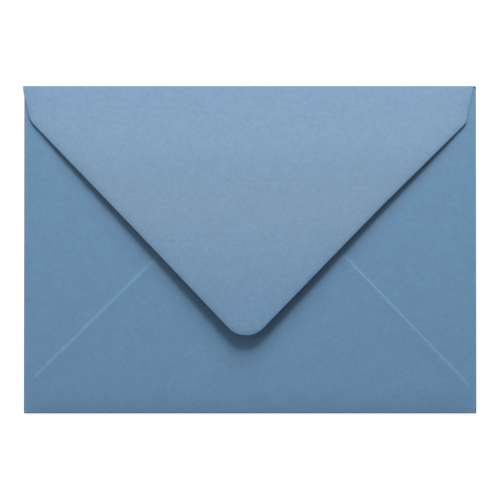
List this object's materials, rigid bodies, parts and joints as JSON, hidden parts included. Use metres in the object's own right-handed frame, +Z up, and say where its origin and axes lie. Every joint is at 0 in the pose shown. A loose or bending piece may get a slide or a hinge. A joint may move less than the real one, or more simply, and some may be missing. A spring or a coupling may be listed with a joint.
{
  "type": "paper envelope",
  "caption": "Closed, unsealed paper envelope with a pointed top flap, folded from one die-cut sheet, lying on its front with its back up.",
  "frame": {"origin": "centre of the front panel's outer face, which lies on the supporting surface", "axes": "+X along the envelope's width, +Y from the bottom fold to the top fold, +Z up out of the back, through the thickness"},
  "size_m": [0.1842, 0.1334, 0.0064],
  "materials": {
    "paper": "matt uncoated, dyed through, fine felt grain"
  },
  "bodies": {
    "root": {"envelope": "paper"}
  },
  "joints": []
}
